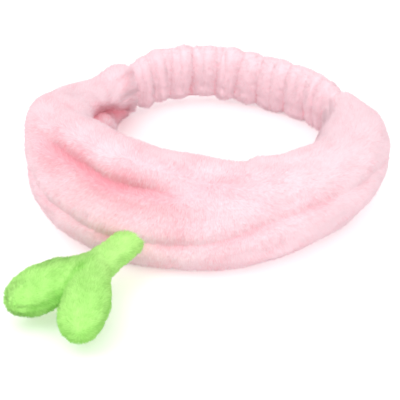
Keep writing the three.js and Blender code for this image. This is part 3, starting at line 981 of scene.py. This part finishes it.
def leaf_lobe(sizes, side, inset):
    """One leaf: widest past its middle, with a rounded tip that hangs down."""
    piece, unit_ball = ball()
    share = (unit_ball[:, 0] + 1) / 2
    widest = LEAF_SWELL * sizes.leaf_length
    x = share * (sizes.leaf_length - inset)
    past = np.clip((x - widest) / (sizes.leaf_length - inset - widest), 0, 1)
    narrowing = np.sqrt(np.maximum(1 - past**2, 0))
    grown = ease(x / widest)
    wide = mix(sizes.stem_half_width, sizes.leaf_half_width, grown) - inset
    thick = mix(sizes.stem_half_width, sizes.leaf_half_thickness, grown) - inset
    around = unit(unit_ball[:, 1:])
    y, z = around[:, 0] * wide * narrowing, around[:, 1] * thick * narrowing
    turn = side * LEAF_TURN
    px = sizes.fork + x * math.cos(turn) - y * math.sin(turn)
    py = x * math.sin(turn) + y * math.cos(turn)
    move_to(piece.data, sprout_place(px, py, z + middle_height(px, sizes)))
    return piece


def stem_lobe(sizes, inset):
    """The stem, from inside the seam to past the fork, a little wider there."""
    piece, unit_ball = ball()
    share = (unit_ball[:, 0] + 1) / 2
    x = mix(-0.014, sizes.fork + 0.012, share)
    flare = 1 + 0.15 * ease(x / (sizes.fork + 0.016))
    ends = np.sqrt(np.clip(1 - np.abs(unit_ball[:, 0]) ** 24, 0, 1))
    half = (sizes.stem_half_width * flare - inset) * ends
    around = unit(unit_ball[:, 1:])
    z = around[:, 1] * half + middle_height(x, sizes)
    move_to(piece.data, sprout_place(x, around[:, 0] * half, z))
    return piece


def web_lobe(sizes, inset):
    """The plump web where the stem opens into the two leaves."""
    piece, unit_ball = ball(48, 32)
    middle = sizes.fork + 0.013
    half = np.array([0.014, 0.0115, sizes.leaf_half_thickness - 0.002]) - inset
    at = unit_ball * half
    z = at[:, 2] + middle_height(middle + at[:, 0], sizes)
    move_to(piece.data, sprout_place(middle + at[:, 0], at[:, 1], z))
    return piece


def inflate(piece, pinned, pressure=4.0, cap=0.0016):
    """Fills a skin by cloth simulation, held at its pinned vertices, and applies the result."""
    before = places(piece.data)
    keep = piece.vertex_groups.new(name="edge seam")
    for index in np.flatnonzero(pinned):
        keep.add([int(index)], 1.0, "REPLACE")
    cloth = piece.modifiers.new("Filling", "CLOTH")
    cloth.settings.use_pressure = True
    cloth.settings.uniform_pressure_force = pressure
    cloth.settings.effector_weights.gravity = 0
    cloth.settings.vertex_group_mass = keep.name
    cloth.point_cache.frame_start, cloth.point_cache.frame_end = 1, 20
    for number in range(1, 21):
        bpy.context.scene.frame_set(number)
    take(piece)
    bpy.ops.object.modifier_apply(modifier=cloth.name)
    bpy.context.scene.frame_set(1)
    moved = places(piece.data) - before
    far = np.linalg.norm(moved, axis=1, keepdims=True)
    move_to(piece.data, before + moved * np.minimum(1, cap / np.maximum(far, 1e-9)))
    piece.vertex_groups.clear()


def sprout_skin(sizes):
    """Stem and leaves as one stuffed skin, with the groove of its edge seam."""
    inset = 1.1 * MM
    lobes = [stem_lobe(sizes, inset), leaf_lobe(sizes, 1, inset), leaf_lobe(sizes, -1, inset)]
    lobes.append(web_lobe(sizes, inset))
    deselect()
    for lobe in lobes:
        lobe.select_set(True)
    bpy.context.view_layer.objects.active = lobes[0]
    bpy.ops.object.join()
    piece = named("sprout")
    apply(piece, "REMESH", mode="VOXEL", voxel_size=0.0013)
    apply(piece, "SMOOTH", factor=0.5, iterations=7)
    local = sprout_local(places(piece.data))
    above = np.abs(local[:, 2] - middle_height(local[:, 0], sizes))
    outline = np.abs(normals_of(piece.data)[:, 2]) < 0.45
    inflate(piece, (above < 0.0007) & outline | (local[:, 0] < 0))
    apply(piece, "SMOOTH", factor=0.5, iterations=3)
    apply(piece, "SUBSURF", levels=1, render_levels=1)
    mesh = piece.data
    local = sprout_local(places(mesh))
    above = local[:, 2] - middle_height(local[:, 0], sizes)
    edge = hump(above, 0.0016) * (np.abs(normals_of(mesh)[:, 2]) < 0.5)
    points = places(mesh) - normals_of(mesh) * (edge * 0.4 * MM)[:, None]
    points += normals_of(mesh) * (ripple(points, 71, 0.016) * 0.35 * MM)[:, None]
    points[:, 2] = np.maximum(points[:, 2], 0.9 * MM)
    move_to(mesh, points)
    return piece, edge


def sprout_nap(local):
    """The pile is brushed in along each leaf and up the stem."""
    spread = LEAF_TURN * ease((local[:, 0] - 0.012) / 0.02) * np.tanh(local[:, 1] / 0.003)
    c, s = math.cos(SPROUT_TURN), math.sin(SPROUT_TURN)
    x, y = np.cos(spread), np.sin(spread)
    return -np.stack([c * x - s * y, s * x + c * y, 0.15 + 0 * x], -1)


ROOT_TO_STEM, STEM_TO_LEAF = -0.0025, 0.024


def bend(piece):
    """Bakes a piece of the sprout's placement into its mesh."""
    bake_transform(piece)


def cut(piece, x=None, keep_beyond=True, side=None):
    """Cuts a closed piece across the sprout at x, or along its middle, and closes the cut."""
    take(piece)
    flat = np.zeros(1)
    c, s = math.cos(SPROUT_TURN), math.sin(SPROUT_TURN)
    place = sprout_place(flat + (x or 0), flat)[0]
    direction = (c, s, 0) if side is None else (-s * side, c * side, 0)
    bpy.ops.object.mode_set(mode="EDIT")
    bpy.ops.mesh.select_all(action="SELECT")
    bpy.ops.mesh.bisect(
        plane_co=tuple(place),
        plane_no=direction,
        use_fill=True,
        clear_inner=keep_beyond,
        clear_outer=not keep_beyond,
    )
    bpy.ops.object.mode_set(mode="OBJECT")


def copy_of(piece, name):
    take(piece)
    bpy.ops.object.duplicate()
    return named(name)


def which_part(local):
    """0 at the root, 1 on the stem, 2 on the left leaf and 3 on the right one."""
    part = np.where(local[:, 1] > 0, 3, 2)
    part = np.where(local[:, 0] < STEM_TO_LEAF, 1, part)
    return np.where(local[:, 0] < ROOT_TO_STEM, 0, part)


class HEADBAND_OT_sprout(bpy.types.Operator):
    """Builds the stuffed sprout as a root, a stem and two leaves cut from one skin"""

    bl_idname = "headband.sprout"
    bl_label = "Sprout"

    def execute(self, context):
        sizes, hues = context.scene.headband_sizes, context.scene.headband_colours
        whole, edge = sprout_skin(sizes)
        local = sprout_local(places(whole.data))
        # Painted light and shade in the tone: paler where the skin faces up, deeper in the crotch
        # between the leaves and along the edge seam; the stem is paler and patches vary at random.
        crotch_shade = hump(local[:, 1], 0.0022) * ease((local[:, 0] - 0.016) / 0.012)
        lit_from_above = ease((normals_of(whole.data)[:, 2] + 0.5) / 1.2)
        patches = 0.08 * ripple(local, 53, 0.009)
        stem = 1 - ease((local[:, 0] - 0.008) / 0.03)
        tone = 0.26 + 0.26 * lit_from_above + 0.34 * stem + patches - 0.10 * edge - 0.3 * crotch_shade
        write(whole.data, "tone", np.clip(tone, 0, 1))
        write(whole.data, "nap", sprout_nap(local))
        smooth(whole)
        rng = np.random.default_rng(19)
        roots, up, nap, tone = scatter(whole.data, 5.0, rng, sparse_below(whole.data, 0.5))
        made = fibres(roots, up, nap, tone, rng, sizes.pile * 0.8, 0.20 * MM, clump=0.0036)
        finish = pile_finish("Green pile", hues.green_deep, hues.green_pale)
        ground = fleece_ground("Green fleece ground", hues.green_deep, hues.green_pale)
        part = which_part(sprout_local(roots))
        for k, name in enumerate(("root", "stem", "left", "right")):
            chosen = part == k
            piece = pile_piece(f"sprout_pile_{name}", *(v[chosen] for v in made), finish)
            bend(piece)
        panels = {"stem": "stem", "left": "left_leaf", "right": "right_leaf"}
        for name in ("root", "stem", "left", "right"):
            skin = copy_of(whole, f"sprout_{name}_skin")
            if name in ("root", "stem"):
                far = ROOT_TO_STEM if name == "root" else STEM_TO_LEAF
                cut(skin, far, keep_beyond=False)
            if name == "stem":
                cut(skin, ROOT_TO_STEM)
            if name in ("left", "right"):
                cut(skin, STEM_TO_LEAF)
                cut(skin, side=-1 if name == "left" else 1)
            dress(skin, ground)
            bend(skin)
            if name in panels:
                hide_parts(f"{panels[name]}_upper_panel", f"{panels[name]}_lower_panel")
        bpy.data.objects.remove(whole)
        return {"FINISHED"}


# ---- Inner pieces ----------------------------------------------------------------------------


def soft_copy(node, name, finish):
    """A copy of a frame node, finished and shown in the node's place; leaf pieces hang with the
    leaves.
    """
    mesh = NODES[node].data.copy()
    piece = bpy.data.objects.new(name, mesh)
    bpy.context.scene.collection.objects.link(piece)
    weld(piece)
    bpy.ops.object.shade_smooth_by_angle(angle=math.radians(40))
    if "leaf" in node:
        points = places(mesh)
        points[:, 2] -= hang(sprout_local(points)[:, 0], bpy.context.scene.headband_sizes)
        points[:, 2] = np.maximum(points[:, 2], 1.2 * MM)
        move_to(mesh, points)
    dress(piece, finish)
    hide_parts(node)
    return piece


class HEADBAND_OT_inner_pieces(bpy.types.Operator):
    """Finishes the thread, elastic and filling inside the skins"""

    bl_idname = "headband.inner_pieces"
    bl_label = "Thread, elastic and filling"

    def execute(self, context):
        hues = context.scene.headband_colours
        pink = yarn_finish("Pink thread", hues.pink_thread, 900, 0.0001)
        green = yarn_finish("Green thread", hues.green_thread, 900, 0.0001)
        woven = yarn_finish("Woven elastic", hues.elastic, 500, 0.0002, roughness=0.8)
        fibre = yarn_finish("Polyester filling", hues.fibre, 130, 0.0008, roughness=0.9)
        stretch(soft_copy("back_elastic", "elastic_strip", woven))
        stretch(soft_copy("casing_seam_thread", "casing_stitching", pink))
        bend(soft_copy("stem_stuffing", "stem_filling", fibre))
        for side in ("left", "right"):
            leaf = f"{side}_leaf"
            bend(soft_copy(f"{leaf}_stuffing", f"{leaf}_filling", fibre))
            bend(soft_copy(f"{leaf}_seam_thread", f"{leaf}_stitching", green))
            seam = f"stem_{side}_seam_thread"
            bend(soft_copy(seam, f"stem_{side}_stitching", green))
        finishes = {"pink_thread": pink, "green_thread": green}
        rows = {
            "pink_thread": [
                "front_seam_thread_left",
                "front_seam_thread_right",
                "left_join_thread",
                "right_join_thread",
                "left_elastic_tack",
                "right_elastic_tack",
            ],
            "green_thread": ["tail_anchor_thread"],
        }
        for slot, nodes in rows.items():
            for node in nodes:
                NODES[node].material_slots[0].material = finishes[slot]
        cloth = green_cloth(hues)
        for node in ("sprout_tail", "stem_neck"):
            NODES[node].material_slots[0].material = cloth
        return {"FINISHED"}


def green_cloth(hues):
    """The green fleece where no pile grows on it, inside the stem."""
    made, tree, shader = material("Green cloth", 0.95, sheen=0.2)
    where = tree.nodes.new("ShaderNodeTexCoord").outputs["Object"]
    knit = use_group(tree, group_named("Knit ground", knit_group), Vector=where, Scale=900.0)
    made_colour = blended(
        tree, knit.outputs["Shade"], (*hues.green_deep, 1), (*hues.green_pale, 1)
    )
    tree.links.new(made_colour, shader.inputs["Base Color"])
    bump(tree, shader, knit.outputs["Height"], 0.0005)
    return made


# ---- Stage -----------------------------------------------------------------------------------


def light(name, place, aim, size, power):
    """A round studio lamp, sampled directly so that the leaning pile is lit evenly."""
    lamp = bpy.data.lights.new(name, "AREA")
    lamp.shape, lamp.size, lamp.energy = "DISK", size, power
    lamp.cycles.use_multiple_importance_sampling = False
    holder = bpy.data.objects.new(name, lamp)
    bpy.context.scene.collection.objects.link(holder)
    holder.location = place
    holder.rotation_euler = (Vector(aim) - Vector(place)).to_track_quat("-Z", "Y").to_euler()


LAMPS = (
    ("overhead", (0, 0, 2.2), (0, 0, 0), 3.0, 16),
    ("key", (-0.7, -0.5, 1.3), (0, 0, 0), 0.9, 3.5),
    ("front", (0.3, -2.0, 0.7), (0, 0, 0.03), 1.6, 15),
    ("left side", (-2.0, -0.2, 0.7), (0, 0, 0.03), 1.6, 11),
    ("right side", (2.0, -0.3, 0.7), (0, 0, 0.03), 1.6, 12),
    ("behind", (0.3, 2.0, 0.8), (0, 0, 0.03), 1.6, 10),
)


class HEADBAND_OT_stage(bpy.types.Operator):
    """Sets up the floor, the soft light and the camera"""

    bl_idname = "headband.stage"
    bl_label = "Stage"

    azimuth: bpy.props.FloatProperty(
        name="Azimuth", description="Turn of the camera", default=math.radians(15.2), subtype="ANGLE"
    )
    elevation: bpy.props.FloatProperty(
        name="Elevation", description="Tilt of the camera", default=math.radians(33.7), subtype="ANGLE"
    )
    distance: length("Distance", 0.75, "From the camera to the headband")

    def execute(self, context):
        scene = context.scene
        deselect()
        bpy.ops.mesh.primitive_grid_add(x_subdivisions=4, y_subdivisions=4, size=6)
        floor = named("floor")
        made, tree, shader = material("Pale surface", 0.9)
        where = tree.nodes.new("ShaderNodeTexCoord").outputs["Object"]
        base = scene.headband_colours.floor
        speck = noise(tree, where, 30, 2)
        tint = blended(tree, speck, (*(c * 0.99 for c in base), 1), (*base, 1))
        tree.links.new(tint, shader.inputs["Base Color"])
        dress(floor, made)

        a, e = self.azimuth, self.elevation
        back = Vector((math.sin(a) * math.cos(e), -math.cos(a) * math.cos(e), math.sin(e)))
        right = Vector((math.cos(a), math.sin(a), 0))
        above = back.cross(right)
        ring = Ring(scene.headband_sizes)
        look = Vector((ring.middle_x + 0.0057, ring.middle_y - 0.0311, 0.02))
        aim = look - above * 0.0153 - right * 0.0023
        camera = bpy.data.cameras.new("camera")
        camera.lens, camera.sensor_width = 119.5, 36
        camera.clip_start, camera.clip_end = 0.01, 20
        holder = bpy.data.objects.new("camera", camera)
        scene.collection.objects.link(holder)
        holder.location = aim + back * self.distance
        holder.rotation_euler = (-back).to_track_quat("-Z", "Y").to_euler()
        scene.camera = holder

        world = scene.world or bpy.data.worlds.new("World")
        scene.world = world
        world.use_nodes = True
        sky = world.node_tree.nodes["Background"]
        sky.inputs["Color"].default_value = (1, 1, 1, 1)
        sky.inputs["Strength"].default_value = 0.75
        for lamp in LAMPS:
            light(*lamp)
        scene.view_settings.view_transform = "Standard"
        return {"FINISHED"}


# ---- Add-on ----------------------------------------------------------------------------------

STEPS = (
    HEADBAND_OT_front_tube,
    HEADBAND_OT_back_casing,
    HEADBAND_OT_sprout,
    HEADBAND_OT_inner_pieces,
    HEADBAND_OT_stage,
)


class HEADBAND_PT_panel(bpy.types.Panel):
    """Lists the headband's pieces, sizes and colours"""

    bl_idname = "HEADBAND_PT_panel"
    bl_label = "Headband"
    bl_space_type = "VIEW_3D"
    bl_region_type = "UI"
    bl_category = "Headband"

    def draw(self, context):
        for step in STEPS:
            self.layout.operator(step.bl_idname)
        for owner, kind in (
            (context.scene.headband_sizes, HeadbandSizes),
            (context.scene.headband_colours, HeadbandColours),
        ):
            for name in kind.__annotations__:
                self.layout.prop(owner, name)


CLASSES = (HeadbandSizes, HeadbandColours, *STEPS, HEADBAND_PT_panel)


def register():
    for kind in CLASSES:
        bpy.utils.register_class(kind)
    bpy.types.Scene.headband_sizes = bpy.props.PointerProperty(type=HeadbandSizes)
    bpy.types.Scene.headband_colours = bpy.props.PointerProperty(type=HeadbandColours)


def unregister():
    del bpy.types.Scene.headband_colours
    del bpy.types.Scene.headband_sizes
    for kind in reversed(CLASSES):
        bpy.utils.unregister_class(kind)


def main():
    register()
    for step in STEPS:
        family, name = step.bl_idname.split(".")
        getattr(getattr(bpy.ops, family), name)()


if __name__ == "__main__":
    main()
